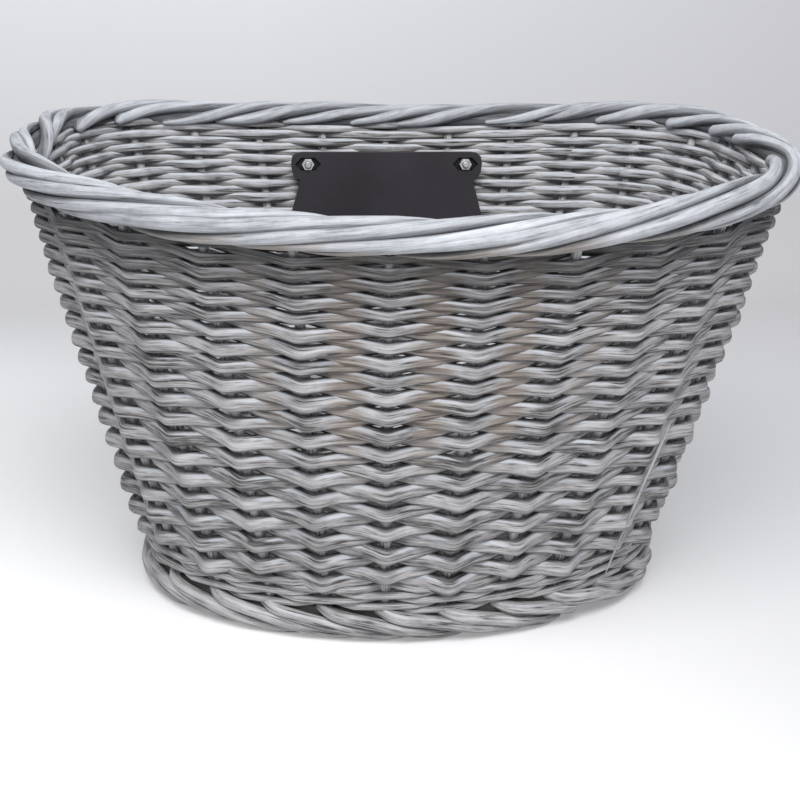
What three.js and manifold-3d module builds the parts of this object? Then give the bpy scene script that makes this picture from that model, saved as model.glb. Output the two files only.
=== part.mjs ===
// A woven willow bicycle basket with a D-shaped plan and a bolted handlebar plate.
// Millimetres, +Z up, the bowed front towards -Y, the straight back towards +Y.
import * as THREE from 'three';
import { mergeVertices } from 'three/addons/utils/BufferGeometryUtils.js';
import Module from 'manifold-3d';

const wasm = await Module();
wasm.setup();

// Plan of the wall's middle surface at the rim, measured from its widest line
const RIM_HALF_WIDTH = 210;
const RIM_FRONT_DEPTH = 140;
const RIM_BACK_DEPTH = 180;
const RIM_HEIGHT = 256;
const RIM_SIDE_LIFT = 10;

// The same plan at the ground, set back from the rim's widest line
const BASE_HALF_WIDTH = 142;
const BASE_FRONT_DEPTH = 85;
const BASE_BACK_DEPTH = 127;
const BASE_SET_BACK = 29;

// Roundness of the two halves of the D, and how much wider apart the front stakes stand
const FRONT_POWER = 1.9;
const BACK_POWER = 3.4;
const FRONT_SPREAD = 0.06;
const OUTLINE_STEPS = 1440;

// Clearances between pieces that touch on the real basket
const FIT = 0.35;
const ROW_GAP = 0.4;

// Upright stakes: an odd number, so that one rod passes the other side of each stake on its next round
const STAKES = 27;
const STAKE_FOOT_RADIUS = 3.4;
const STAKE_TIP_RADIUS = 2.8;
const STAKE_SIDES = 6;

// Woven rows: each rod goes round twice, and the rows get finer towards the rim
const WEAVER_RODS = 18;
const ROUNDS_PER_ROD = 2;
const WALE_ROUNDS = 2;
const WALE_PITCH = 5.2;
const BOTTOM_PITCH = 7.9;
const WEAVER_DEPTH = 5.0;
const WALE_DEPTH = 4.4;

// Rolled rim border: eight rods side by side, twisted one rod further at each stake
const RIM_RODS = 8;
const RIM_TWISTS = STAKES;
const RIM_ROD_RADIUS = 2.6;
const RIM_BUNDLE_RADIUS = 7.6;
const RIM_STEPS = 28;
const RIM_ROD_SIDES = 5;

// Foot border under the base board: two rods that twist past each other, half a turn at each stake
const FOOT_RODS = 2;
const FOOT_TWISTS = STAKES;
const FOOT_ROD_HEIGHT = 6.0;
const FOOT_ROD_DEPTH = 5.4;
const FOOT_STEPS = 2 * STAKES;

// Base board
const BOARD_THICKNESS = 8;
const BOARD_EDGE = 5.5;
const BOARD_STEPS = 54;

// Handlebar plate on the inside of the back wall
const BOLT_SPACING = 104;
const BOLT_ROWS_APART = 15;
const UPPER_BOLT_ROW = 32;
const PLATE_THICKNESS = 5;
const PLATE_TOP_MARGIN = 8;
const PLATE_EAR_HALF = 63;
const PLATE_EAR_HEIGHT = 18;
const PLATE_WAIST_HALF = 57;
const PLATE_SPLAY_HALF = 69;
const PLATE_SPLAY_DROP = 62;
const PLATE_BOTTOM_MARGIN = 12;
const PLATE_CORNER = 7;

// Receiver plate on the outside of the back wall
const RECEIVER_THICKNESS = 5;
const RECEIVER_WIDTH = 124;
const RECEIVER_MARGIN = 11;
const RECEIVER_CORNER = 10;
const SLOT_WIDTH = 46;
const SLOT_DEPTH = 11;
const SLOT_HEIGHT = 66;
const RAIL_WALL = 6;
const LIP_WIDTH = 7;
const LIP_THICKNESS = 4;

// M4 bolts and nuts
const BOLT_RADIUS = 2.0;
const BOLT_HEAD_RADIUS = 4.0;
const BOLT_HEAD_HEIGHT = 3.0;
const BOLT_SEGMENTS = 10;
const BOLT_END = 2.0;
const NUT_ACROSS_FLATS = 7.0;
const NUT_HEIGHT = 3.2;
const POCKET_DEPTH = 2.4;
const POCKET_LENGTH = 17;

// Finishes
const washedWillow = new THREE.MeshStandardMaterial({ color: 0x9a989a, roughness: 0.75, metalness: 0 });
const paleRim = new THREE.MeshStandardMaterial({ color: 0xc9cdd2, roughness: 0.7, metalness: 0 });
const darkBoard = new THREE.MeshStandardMaterial({ color: 0x5c5b5d, roughness: 0.8, metalness: 0 });
const blackPlastic = new THREE.MeshStandardMaterial({ color: 0x2b292c, roughness: 0.55, metalness: 0 });
const zincSteel = new THREE.MeshStandardMaterial({ color: 0xb9bcc0, roughness: 0.3, metalness: 1 });

const basket = new THREE.Group();

function addPiece(parent, name, geometry, material) {
  const mesh = new THREE.Mesh(geometry, material);
  mesh.name = name;
  parent.add(mesh);
  return mesh;
}

// Closed geometry as a solid that can be joined and cut, and back again

function toSolid(geometry) {
  const bare = geometry.clone();
  bare.deleteAttribute('normal');
  bare.deleteAttribute('uv');
  const merged = mergeVertices(bare);
  return new wasm.Manifold(new wasm.Mesh({
    numProp: 3,
    vertProperties: new Float32Array(merged.attributes.position.array),
    triVerts: new Uint32Array(merged.index.array),
  }));
}

function toGeometry(solid) {
  const { vertProperties, triVerts } = solid.getMesh();
  return geometryFrom(vertProperties, Array.from(triVerts));
}

function geometryFrom(positions, indices) {
  const geometry = new THREE.BufferGeometry();
  geometry.setAttribute('position', new THREE.Float32BufferAttribute(positions, 3));
  geometry.setIndex(indices);
  geometry.computeVertexNormals();
  return geometry;
}

// D-shaped outlines, followed by length from the middle of the front, turning towards +X

function outlineAt(half, front, back, setBack) {
  const lengths = [0];
  const points = [];
  for (let i = 0; i <= OUTLINE_STEPS; i++) {
    const angle = 2 * Math.PI * i / OUTLINE_STEPS - Math.PI / 2;
    const [depth, power] = Math.sin(angle) < 0 ? [front, FRONT_POWER] : [back, BACK_POWER];
    const across = Math.abs(Math.cos(angle) / half) ** power;
    const along = Math.abs(Math.sin(angle) / depth) ** power;
    const radius = (across + along) ** (-1 / power);
    points.push(new THREE.Vector2(radius * Math.cos(angle), radius * Math.sin(angle) + setBack));
    if (i > 0) lengths.push(lengths[i - 1] + points[i].distanceTo(points[i - 1]));
  }
  return (share) => {
    const wanted = (share - Math.floor(share)) * lengths[OUTLINE_STEPS];
    const next = Math.max(1, lengths.findIndex((length) => length >= wanted));
    const step = (wanted - lengths[next - 1]) / (lengths[next] - lengths[next - 1]);
    return points[next - 1].clone().lerp(points[next], step);
  };
}

const rimOutline = outlineAt(RIM_HALF_WIDTH, RIM_FRONT_DEPTH, RIM_BACK_DEPTH, 0);
const baseOutline = outlineAt(BASE_HALF_WIDTH, BASE_FRONT_DEPTH, BASE_BACK_DEPTH, BASE_SET_BACK);

// The wall is ruled from the ground outline to the rim outline. A turn of 0 is the middle of the
// front and 1 is back there again; height runs from 0 at the ground to 1 at the rim's centre.

function wallPoint(turn, height) {
  const share = turn + FRONT_SPREAD * Math.sin(2 * Math.PI * turn) / (2 * Math.PI);
  const low = baseOutline(share);
  const high = rimOutline(share);
  const top = RIM_HEIGHT + RIM_SIDE_LIFT * (high.x / RIM_HALF_WIDTH) ** 2;
  return new THREE.Vector3(low.x, low.y, 0).lerp(new THREE.Vector3(high.x, high.y, top), height);
}

// Directions there: up the stake, out square to the wall, and out on the level with the share of a
// level step that counts square to the wall

function wallFrame(turn, height) {
  const nudge = 1 / OUTLINE_STEPS;
  const up = wallPoint(turn, 1).sub(wallPoint(turn, 0)).normalize();
  const along = wallPoint(turn + nudge, height).sub(wallPoint(turn - nudge, height)).normalize();
  const square = new THREE.Vector3().crossVectors(along, up).normalize();
  const level = square.clone().setZ(0).normalize();
  return { up, square, level, share: level.dot(square) };
}

const heightOf = (millimetres) => millimetres / RIM_HEIGHT;
const stakeTurn = (stake) => (stake + 0.5) / STAKES;
const stakeRadius = (height) => THREE.MathUtils.lerp(STAKE_FOOT_RADIUS, STAKE_TIP_RADIUS, height);

// Skin through rings of points, closed end to end or capped, with the points of each ring running
// counter-clockwise when the strand comes towards the eye

function strand(rings, closed) {
  const sides = rings[0].length;
  const positions = rings.flat().flatMap((point) => point.toArray());
  const indices = [];
  const spans = closed ? rings.length : rings.length - 1;
  for (let i = 0; i < spans; i++) {
    const next = (i + 1) % rings.length;
    for (let j = 0; j < sides; j++) {
      const k = (j + 1) % sides;
      const [a, b, c, d] = [i * sides + j, i * sides + k, next * sides + j, next * sides + k];
      indices.push(a, b, c, b, d, c);
    }
  }
  if (!closed) {
    const last = (rings.length - 1) * sides;
    for (let j = 1; j < sides - 1; j++) {
      indices.push(0, j + 1, j);
      indices.push(last, last + j, last + j + 1);
    }
  }
  return geometryFrom(positions, indices);
}

// Heights from the ground up: foot border, base board, wale, woven rows, rim border

const FOOT_HEIGHT = 2 * FOOT_ROD_HEIGHT + ROW_GAP;
const BOARD_BOTTOM = FOOT_HEIGHT + FIT;
const BOARD_TOP = BOARD_BOTTOM + BOARD_THICKNESS;
const WALE_BOTTOM = BOARD_TOP + FIT;
const RIM_RADIUS = RIM_BUNDLE_RADIUS + RIM_ROD_RADIUS;
const STAKE_TOP = RIM_HEIGHT - RIM_RADIUS - FIT;
const WEAVE_BOTTOM = WALE_BOTTOM + (WALE_ROUNDS + 1) * WALE_PITCH;
const ROWS = WEAVER_RODS * ROUNDS_PER_ROD;
const MEAN_PITCH = (STAKE_TOP - FIT - WEAVE_BOTTOM) / (ROWS + 1);
const PITCH_LOSS = 2 * (BOTTOM_PITCH - MEAN_PITCH) / (ROWS + 1);

const waleEdge = (row) => WALE_BOTTOM + WALE_PITCH * row;
const weaveEdge = (row) => WEAVE_BOTTOM + BOTTOM_PITCH * row - PITCH_LOSS * row * row / 2;

// How far from a stake's line a woven rod's near face keeps clear of the stake: more where the rod
// slants steeply to the other side of the next stakes, with side 1 in front and -1 behind

function stakeClearance(turn, height, side, depth) {
  const clear = stakeRadius(height) + FIT;
  const { level, share } = wallFrame(turn, height);
  const slopes = [-1, 1].map((neighbour) => {
    const step = wallPoint(turn + neighbour / STAKES, height).sub(wallPoint(turn, height));
    const drop = -side * step.dot(level);
    return (2 * clear + depth + drop) / Math.sqrt(step.lengthSq() - drop * drop);
  });
  return clear * Math.hypot(1, Math.max(...slopes)) / share;
}

// A rod woven in front of one stake and behind the next, climbing one row in each round

function wovenRod(edge, firstRow, rounds, depth) {
  const rings = [];
  for (let stake = 0; stake <= rounds * STAKES; stake++) {
    const row = firstRow + stake / STAKES;
    const low = heightOf(edge(row) + ROW_GAP / 2);
    const high = heightOf(edge(row + 1) - ROW_GAP / 2);
    const turn = stakeTurn(stake);
    const { level } = wallFrame(turn, low);
    const side = (stake + firstRow * STAKES) % 2 === 0 ? 1 : -1;
    const near = stakeClearance(turn, low, side, depth);
    const [inner, outer] = side > 0 ? [near, near + depth] : [-near - depth, -near];
    rings.push([[high, inner], [high, outer], [low, outer], [low, inner]].map(
      ([height, offset]) => wallPoint(turn, height).addScaledVector(level, offset)));
  }
  return strand(rings, false);
}

// The foot border: one long strand that goes round twice beside itself, coming down from the board to
// the ground on the outside and going up again on the inside

function footBorder() {
  const rings = [];
  const steps = FOOT_RODS * FOOT_STEPS;
  const aside = (FOOT_ROD_DEPTH + ROW_GAP) / 2;
  for (let step = 0; step < steps; step++) {
    const turn = stakeTurn(0) + step / FOOT_STEPS;
    const { level } = wallFrame(turn, 0);
    const twist = Math.PI / 4 - 2 * Math.PI * FOOT_TWISTS * step / steps;
    const middle = Math.cos(twist) > 0 ? aside : -aside;
    const low = Math.sin(twist) > 0 ? FOOT_HEIGHT - FOOT_ROD_HEIGHT : 0;
    const high = low + FOOT_ROD_HEIGHT;
    const [inner, outer] = [middle - FOOT_ROD_DEPTH / 2, middle + FOOT_ROD_DEPTH / 2];
    rings.push([[high, inner], [high, outer], [low, outer], [low, inner]].map(
      ([height, offset]) => wallPoint(turn, 0).addScaledVector(level, offset).setZ(height)));
  }
  return strand(rings, true);
}

// The rim border: one long strand that goes round eight times, beside itself

function rimBorder() {
  const rings = [];
  const steps = RIM_RODS * RIM_STEPS;
  for (let step = 0; step < steps; step++) {
    const turn = stakeTurn(0) + step / RIM_STEPS;
    const centre = wallPoint(turn, 1);
    const { level } = wallFrame(turn, 1);
    const twist = 2 * Math.PI * RIM_TWISTS * step / steps;
    const at = (radius, angle, from) => from.clone()
      .addScaledVector(level, radius * Math.cos(angle))
      .add(new THREE.Vector3(0, 0, radius * Math.sin(angle)));
    const rod = at(RIM_BUNDLE_RADIUS, twist, centre);
    const ring = [];
    for (let side = 0; side < RIM_ROD_SIDES; side++) {
      ring.push(at(RIM_ROD_RADIUS, -2 * Math.PI * side / RIM_ROD_SIDES, rod));
    }
    rings.push(ring);
  }
  return strand(rings, true);
}

// A tapered stake between two heights, grown by a margin where it is used to cut its own hole

function stakeGeometry(stake, bottom, top, margin) {
  const turn = stakeTurn(stake);
  const rings = [bottom, top].map((level) => {
    const height = heightOf(level);
    const { up, square } = wallFrame(turn, height);
    const side = new THREE.Vector3().crossVectors(up, square);
    const radius = stakeRadius(height) + margin;
    const ring = [];
    for (let i = 0; i < STAKE_SIDES; i++) {
      const angle = 2 * Math.PI * i / STAKE_SIDES;
      ring.push(wallPoint(turn, height)
        .addScaledVector(square, radius * Math.cos(angle))
        .addScaledVector(side, radius * Math.sin(angle)));
    }
    return ring;
  });
  return strand(rings, false);
}

// The base board: a D a little larger than the ring of stakes, drilled for each of them

function baseBoard() {
  const middle = heightOf(BOARD_BOTTOM + BOARD_THICKNESS / 2);
  const edge = [];
  for (let step = 0; step < BOARD_STEPS; step++) {
    const turn = step / BOARD_STEPS;
    const point = wallPoint(turn, middle).addScaledVector(wallFrame(turn, middle).level, BOARD_EDGE);
    edge.push(new THREE.Vector2(point.x, point.y));
  }
  const slab = new THREE.ExtrudeGeometry(new THREE.Shape(edge), { depth: BOARD_THICKNESS, bevelEnabled: false });
  slab.translate(0, 0, BOARD_BOTTOM);
  let board = toSolid(slab);
  for (let stake = 0; stake < STAKES; stake++) {
    const drill = stakeGeometry(stake, BOARD_BOTTOM - BOARD_THICKNESS, BOARD_TOP + BOARD_THICKNESS, FIT);
    board = board.subtract(toSolid(drill));
  }
  return toGeometry(board.simplify(FIT / 10));
}

// The handlebar plates share a frame on the back wall: X across, Y up the wall, Z into the basket,
// with its origin on the ring of stakes, level with the upper bolts

const BACK = 0.5;
const upperBoltLevel = weaveEdge(UPPER_BOLT_ROW + BACK);
const lowerBoltLevel = weaveEdge(UPPER_BOLT_ROW - BOLT_ROWS_APART + BACK);
const backFrame = wallFrame(BACK, heightOf(upperBoltLevel));
const plateMount = new THREE.Group();
plateMount.position.copy(wallPoint(BACK, heightOf(upperBoltLevel)));
plateMount.quaternion.setFromRotationMatrix(new THREE.Matrix4().makeBasis(
  new THREE.Vector3(1, 0, 0), backFrame.up, backFrame.square.clone().negate()));
basket.add(plateMount);

const boltDrop = (upperBoltLevel - lowerBoltLevel) / backFrame.up.z;
const boltPlaces = [];
for (const [level, y] of [['upper', 0], ['lower', -boltDrop]]) {
  for (const [hand, x] of [['left', -BOLT_SPACING / 2], ['right', BOLT_SPACING / 2]]) {
    boltPlaces.push({ name: `${level}_${hand}`, x, y });
  }
}

// How far the wall's faces stand from the ring of stakes behind the plates
const wallFace = STAKE_FOOT_RADIUS + FIT + WEAVER_DEPTH;
const sagTurn = PLATE_SPLAY_HALF / (2 * Math.PI * RIM_BACK_DEPTH);
const backHeight = heightOf(upperBoltLevel);
const wallSag = wallPoint(BACK, backHeight).y - wallPoint(BACK + sagTurn, backHeight).y;
const plateBack = wallFace + wallSag + FIT;
const plateFront = plateBack + PLATE_THICKNESS;
const receiverFace = -wallFace - FIT;
const receiverBack = receiverFace - RECEIVER_THICKNESS;

function roundedRectangle(width, bottom, top, corner) {
  const half = width / 2;
  const shape = new THREE.Shape();
  shape.moveTo(-half + corner, bottom);
  shape.lineTo(half - corner, bottom);
  shape.quadraticCurveTo(half, bottom, half, bottom + corner);
  shape.lineTo(half, top - corner);
  shape.quadraticCurveTo(half, top, half - corner, top);
  shape.lineTo(-half + corner, top);
  shape.quadraticCurveTo(-half, top, -half, top - corner);
  shape.lineTo(-half, bottom + corner);
  shape.quadraticCurveTo(-half, bottom, -half + corner, bottom);
  return shape;
}

function circle(radius) {
  return new THREE.Shape().absarc(0, 0, radius, 0, 2 * Math.PI);
}

// A flat outline raised to a thickness, from one level to another in the plates' frame

function slab(shape, from, to, curveSegments) {
  const geometry = new THREE.ExtrudeGeometry(shape, { depth: to - from, bevelEnabled: false, curveSegments });
  return geometry.translate(0, 0, from);
}

function boltHole({ x, y }, from, to) {
  return slab(circle(BOLT_RADIUS + FIT), from, to, BOLT_SEGMENTS / 2).translate(x, y, 0);
}

// The inside plate: ears at the top for the upper bolts, a waist below them, splayed sides

function insidePlate() {
  const top = PLATE_TOP_MARGIN;
  const bottom = -boltDrop - PLATE_BOTTOM_MARGIN;
  const outline = new THREE.Shape();
  outline.moveTo(0, top);
  outline.lineTo(PLATE_EAR_HALF - PLATE_CORNER, top);
  outline.quadraticCurveTo(PLATE_EAR_HALF, top, PLATE_EAR_HALF, top - PLATE_CORNER);
  outline.quadraticCurveTo(PLATE_EAR_HALF, top - PLATE_EAR_HEIGHT, PLATE_WAIST_HALF, top - PLATE_EAR_HEIGHT);
  outline.lineTo(PLATE_SPLAY_HALF, top - PLATE_SPLAY_DROP);
  outline.lineTo(PLATE_SPLAY_HALF, bottom + PLATE_CORNER);
  outline.quadraticCurveTo(PLATE_SPLAY_HALF, bottom, PLATE_SPLAY_HALF - PLATE_CORNER, bottom);
  outline.lineTo(0, bottom);
  const rightHalf = outline.getPoints(3);
  const leftHalf = rightHalf.slice(1, -1).reverse().map((point) => new THREE.Vector2(-point.x, point.y));
  const shape = new THREE.Shape([...rightHalf, ...leftHalf].reverse());
  let plate = toSolid(slab(shape, plateBack, plateFront));
  const cornerRadius = NUT_ACROSS_FLATS / Math.sqrt(3) + FIT;
  const pocketPoints = [
    [POCKET_LENGTH / 2, 0], [cornerRadius, cornerRadius], [-cornerRadius, cornerRadius],
    [-POCKET_LENGTH / 2, 0], [-cornerRadius, -cornerRadius], [cornerRadius, -cornerRadius],
  ].map(([x, y]) => new THREE.Vector2(x, y));
  for (const place of boltPlaces) {
    const pocket = slab(new THREE.Shape(pocketPoints), plateFront - POCKET_DEPTH, plateFront + POCKET_DEPTH);
    plate = plate.subtract(toSolid(pocket.translate(place.x, place.y, 0)));
    plate = plate.subtract(toSolid(boltHole(place, plateBack - FIT, plateFront)));
  }
  return toGeometry(plate);
}

// The outside receiver: a plate with a lipped slot, open below and closed above, for a handlebar block

function receiverPlate() {
  const top = RECEIVER_MARGIN;
  const bottom = -boltDrop - RECEIVER_MARGIN;
  const slotTop = (top + bottom) / 2 + SLOT_HEIGHT / 2;
  const railOuter = SLOT_WIDTH / 2 + RAIL_WALL;
  const railBack = receiverBack - SLOT_DEPTH;
  const sheet = roundedRectangle(RECEIVER_WIDTH, bottom, top, RECEIVER_CORNER);
  let plate = toSolid(slab(sheet, receiverBack, receiverFace, 3));
  const walls = [
    [-railOuter, -SLOT_WIDTH / 2, slotTop - SLOT_HEIGHT, slotTop, railBack],
    [SLOT_WIDTH / 2, railOuter, slotTop - SLOT_HEIGHT, slotTop, railBack],
    [-railOuter, railOuter, slotTop, slotTop + RAIL_WALL, railBack],
  ];
  const lips = [
    [-railOuter, -SLOT_WIDTH / 2 + LIP_WIDTH],
    [SLOT_WIDTH / 2 - LIP_WIDTH, railOuter],
  ];
  const bar = (left, right, low, high, from, to) => toSolid(new THREE.BoxGeometry(right - left, high - low, to - from)
    .translate((left + right) / 2, (low + high) / 2, (from + to) / 2));
  for (const [left, right, low, high, from] of walls) {
    plate = plate.add(bar(left, right, low, high, from, receiverFace - RECEIVER_THICKNESS / 2));
  }
  for (const [left, right] of lips) {
    plate = plate.add(bar(left, right, slotTop - SLOT_HEIGHT, slotTop + RAIL_WALL, railBack - LIP_THICKNESS, railBack));
  }
  for (const place of boltPlaces) {
    plate = plate.subtract(toSolid(boltHole(place, receiverBack - FIT, receiverFace + FIT)));
  }
  return toGeometry(plate);
}

// Bolts go in from outside, and their nuts sit in the inside plate's pockets

const nutBack = plateFront - POCKET_DEPTH + FIT;
const boltTip = nutBack + NUT_HEIGHT + BOLT_END;

function boltGeometry() {
  const seat = receiverBack - FIT;
  const profile = [
    [0, seat - BOLT_HEAD_HEIGHT], [BOLT_HEAD_RADIUS, seat - BOLT_HEAD_HEIGHT], [BOLT_HEAD_RADIUS, seat],
    [BOLT_RADIUS, seat], [BOLT_RADIUS, boltTip], [0, boltTip],
  ].map(([radius, along]) => new THREE.Vector2(radius, along));
  return new THREE.LatheGeometry(profile, BOLT_SEGMENTS).rotateX(Math.PI / 2);
}

function nutGeometry() {
  const hexagon = [];
  for (let i = 0; i < 6; i++) {
    const angle = Math.PI * i / 3;
    const corner = NUT_ACROSS_FLATS / Math.sqrt(3);
    hexagon.push(new THREE.Vector2(corner * Math.cos(angle), corner * Math.sin(angle)));
  }
  const shape = new THREE.Shape(hexagon);
  shape.holes.push(circle(BOLT_RADIUS + FIT));
  return slab(shape, nutBack, nutBack + NUT_HEIGHT, BOLT_SEGMENTS / 2);
}

// The rods are parted where the bolts go through the wall

plateMount.updateMatrix();
const boltPassages = boltPlaces.map((place) => toSolid(
  boltHole(place, receiverFace, plateBack).applyMatrix4(plateMount.matrix)));

function partedForBolts(geometry) {
  let rod = toSolid(geometry);
  for (const passage of boltPassages) {
    rod = rod.subtract(passage);
  }
  return toGeometry(rod);
}

// Assembly, from the ground up

addPiece(basket, 'foot_border', footBorder(), washedWillow);
addPiece(basket, 'base_board', baseBoard(), darkBoard);

for (let stake = 0; stake < STAKES; stake++) {
  const name = `stake_${String(stake + 1).padStart(2, '0')}`;
  addPiece(basket, name, stakeGeometry(stake, FOOT_HEIGHT + FIT, STAKE_TOP, 0), washedWillow);
}

addPiece(basket, 'bottom_wale', wovenRod(waleEdge, 0, WALE_ROUNDS, WALE_DEPTH), washedWillow);

for (let rod = 0; rod < WEAVER_RODS; rod++) {
  const name = `weaver_${String(rod + 1).padStart(2, '0')}`;
  const woven = wovenRod(weaveEdge, rod * ROUNDS_PER_ROD, ROUNDS_PER_ROD, WEAVER_DEPTH);
  addPiece(basket, name, partedForBolts(woven), washedWillow);
}

addPiece(basket, 'rim_border', rimBorder(), paleRim);
addPiece(plateMount, 'inside_plate', insidePlate(), blackPlastic);
addPiece(plateMount, 'receiver_plate', receiverPlate(), blackPlastic);

for (const { name, x, y } of boltPlaces) {
  addPiece(plateMount, `bolt_${name}`, boltGeometry(), zincSteel).position.set(x, y, 0);
  addPiece(plateMount, `nut_${name}`, nutGeometry(), zincSteel).position.set(x, y, 0);
}

// The origin is under the middle of the whole basket, on the ground
const reach = new THREE.Box3().setFromObject(basket);
const middle = reach.getCenter(new THREE.Vector3());
basket.position.set(-middle.x, -middle.y, -reach.min.z);

const part = new THREE.Group();
part.add(basket);

export default part;
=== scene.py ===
"""A grey-washed willow bicycle basket, dressed over its fixed frame: round rods in place of the plain
solids, a rolled rim, a foot border, a painted board and the moulded handlebar plates.
Metres, +Z up, front towards -Y."""
import math

import bmesh
import bpy
import numpy as np
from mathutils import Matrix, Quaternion, Vector


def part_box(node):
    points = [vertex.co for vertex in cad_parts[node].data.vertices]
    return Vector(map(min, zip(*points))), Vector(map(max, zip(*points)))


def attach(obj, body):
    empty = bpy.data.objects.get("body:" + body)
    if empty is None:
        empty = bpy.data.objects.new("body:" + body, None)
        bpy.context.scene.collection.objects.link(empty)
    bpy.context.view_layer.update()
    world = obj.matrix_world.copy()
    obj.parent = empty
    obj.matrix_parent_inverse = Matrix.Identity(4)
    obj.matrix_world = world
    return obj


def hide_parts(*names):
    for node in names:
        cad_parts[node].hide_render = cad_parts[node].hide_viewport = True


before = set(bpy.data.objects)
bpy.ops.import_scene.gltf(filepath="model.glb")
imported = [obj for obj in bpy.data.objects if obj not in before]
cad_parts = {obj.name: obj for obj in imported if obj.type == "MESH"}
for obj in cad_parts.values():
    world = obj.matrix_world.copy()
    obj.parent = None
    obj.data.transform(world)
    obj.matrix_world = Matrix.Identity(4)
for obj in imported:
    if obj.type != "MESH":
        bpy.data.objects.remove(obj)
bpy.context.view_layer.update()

BODY = "root"
MM = 0.001
SEED = 4127
UP = np.array([0.0, 0.0, 1.0])
VERTEX_DECIMALS = 6

# Levels on the stakes, as in the frame: wale on the board, woven rows above it, the rim's centre on top
WALE_BOTTOM = 21.1 * MM
WEAVE_BOTTOM = 36.7 * MM
WEAVE_TOP = 245.1 * MM
RIM_LEVEL = 256.0 * MM

# Rows of the weave: each weaver goes round twice
WEAVERS = 18
ROUNDS = 2
ROWS = WEAVERS * ROUNDS
BOTTOM_PITCH = 7.9 * MM
THIN_ROW = 0.1
TUCKED_ROWS = 3
TUCK_SWING = 0.75
TUCK_LEAN = -0.25

# Stakes: straight willow that gets thinner upwards
STAKE_RADIUS = (3.3 * MM, 2.7 * MM)
STAKE_INTO_RIM = 9.0 * MM
STAKE_RINGS = 30
STAKE_UNEVEN = 0.03
STAKE_KNOTS = 4
# High tones and a light mark paint the stakes paler, as painted light on them in the shaded gaps between
# the rods
STAKE_TONES = (0.8, 1.0)
STAKE_PAINTED_LIGHT = 0.5
RINGS_PER_STAKE = 8

# Any rod: its sides, the marks that its finish reads, and how its ends are rounded
ROD_SIDES = 16
# tone varies a rod's paint at random, bare is rubbed-off paint, dark is painted shade, and light is painted
# highlights and light, except on the stray stick, where it is the stick's paler paint
MARKS = ("tone", "dark", "bare", "light")
ROD_CAP = 0.6
CAP_LEAST = 0.02
END_STEPS = np.array([0.0, 0.01, 0.025, 0.05])
RUN_END_SHARE = 0.3

# Woven rods: a little thicker than their row is high, kinked at each stake, thinner where two of them meet
ROD_THICKNESS = (9.3 * MM, 7.7 * MM, 5.0 * MM)
ROD_MARGIN = 0.2 * MM
ROD_TAPER = (1.06, 0.94)
ROD_SPREAD = (0.9, 1.08)
ROD_UNEVEN = 0.08
ROD_SWAY = 0.11
ROD_TIP = 0.5
ROD_OVERLAP = 0.35
ROD_DEPTH_SHARE = 0.72
ROD_BLUNT = 0.78
ROD_HUG = 0.95
ROD_ROUNDING = (1.5, -0.5)
OUTER_BULGE = 1.12
CROSSING_FILL = 1.28
KINK_STEPS = np.array([0.0, 0.04, 0.1, 0.2, 0.35, 0.5, 0.65, 0.8, 0.9, 0.96])
STAKE_BEND = 0.03
STROKE_PEAK = 1.55
HALF_ROD_STAKES = (6, 12)
JOIN_SHIFTS = (-6, 7)

# Painted shade and highlights by the place round a rod: shade at its edges and under it, a painted
# highlight on its upper shoulders. A ramp is a gain and an offset
ON_EDGE_RAMP = (4.0, -3.0)
UNDER_EDGE_RAMP = (2.6, -0.95)
SHOULDER_PLACES = (0.38, 0.71, 0.92, 1.0)
SHOULDER_LIGHT = (0.0, 1.0, 0.6, 0.0)

# Painted shade and light on woven rods: shade below them, at the crossings, on their hidden sides and in
# the rim's shadow; painted light on their hidden sides and inside the basket
UNDER_DARK = 0.8
CROSSING_DARK = 2.0
CROSSING_LIGHT = (1.3, 0.35)
BEHIND_DARK = 0.35
BEHIND_PAINTED_LIGHT = 0.75
INSIDE_PAINTED_LIGHT = 0.45
INSIDE_REACH = 0.3
RIM_SHADE = 0.95
RIM_SHADE_LEVELS = (185.0 * MM, 242.0 * MM)

# Bare willow shows at the crossings in the upper middle of the front
BARE_STAKE = -0.6
BARE_REACH = 3.4
BARE_PLATEAU = 1.4
BARE_CROSSING = 1.6
BARE_LEVELS = (95.0 * MM, 150.0 * MM)

# Wale: thin rods in front of two stakes and behind the third, each row begun some stakes on from the last
WALE_ROWS = 6
WALE_STROKE = 3
WALE_SHIFT = 5
WALE_ENDS = (0.2, 0.8)
WALE_HEIGHT_SHARE = 0.8
WALE_DEPTH_SHARE = 0.9
WALE_UNEVEN = 0.1
WALE_LEAN = 0.45
WALE_SWING = 1.2
WALE_SWING_LIMITS = (-0.75, 1.0)
WALE_LIFT = 0.6
WALE_WAVE = 0.25
WALE_TONES = (0.2, 1.0)
# Painted shade under and behind the wale's rods, and a painted highlight on their shoulders
WALE_UNDER_DARK = 0.9
WALE_BEHIND_DARK = 0.6
WALE_HIGHLIGHT = 0.5

# Rolled rim: the bent-over stakes lie beside each other and climb from the outside to the inside
RIM_ROD_RADIUS = 3.6 * MM
RIM_BUNDLE_RADIUS = 7.2 * MM
RIM_CORE_RADIUS = 4.4 * MM
RIM_TURN_PER_STAKE = math.radians(55.0)
RIM_START = math.radians(-105.0)
RIM_END = math.radians(198.0)
RIM_STEPS = (0.0, 0.12, 0.7, 1.0)
RIM_CLIMB = (0.0, 0.16, 0.6, 1.0)
RIM_RINGS = 10
RIM_KNOTS = 13
RIM_CAP = 1.1

# No two rim rods are alike: spreads of their ends, starts, courses and thickness
RIM_END_SPREAD = 0.35
RIM_START_SPREAD = 0.22
RIM_WANDER_SPREAD = 0.22
RIM_WANDER = 0.24
RIM_THICKNESS_SPREAD = (0.8, 1.12)
RIM_UNEVEN = 0.05
RIM_UNEVEN_KNOTS = 7
RIM_LOOSE_SPREAD = (0.92, 1.08)
RIM_LOOSENESS = 0.1

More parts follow.
